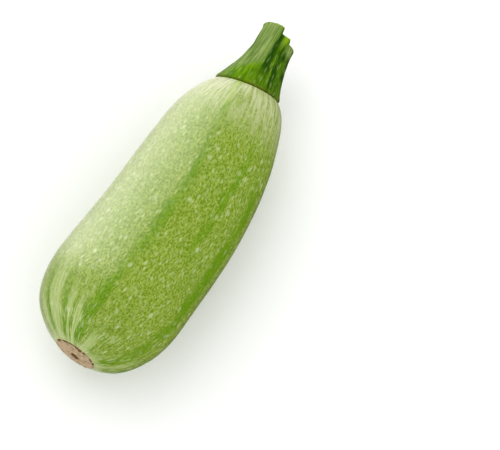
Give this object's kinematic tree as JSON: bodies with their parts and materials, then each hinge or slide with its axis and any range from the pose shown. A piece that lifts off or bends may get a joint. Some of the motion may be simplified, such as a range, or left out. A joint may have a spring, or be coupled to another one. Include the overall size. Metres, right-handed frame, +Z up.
{
  "type": "zucchini",
  "caption": "Short pale green striped zucchini lying on its side, with a ribbed cut stem and a round corky blossom scar.",
  "frame": {"origin": "on the surface that the zucchini lies on, under the middle of its bounding box", "axes": "+X along its length from the blossom end to the stem, +Z up; it bows slightly towards -Y"},
  "size_m": [0.1828, 0.0672, 0.0672],
  "materials": {
    "skin": "waxy, softly glossy",
    "stem": "satin, fibrous",
    "scar": "dry, corky"
  },
  "bodies": {
    "root": {"fruit": "skin", "stem": "stem", "blossom_scar": "scar"}
  },
  "joints": []
}
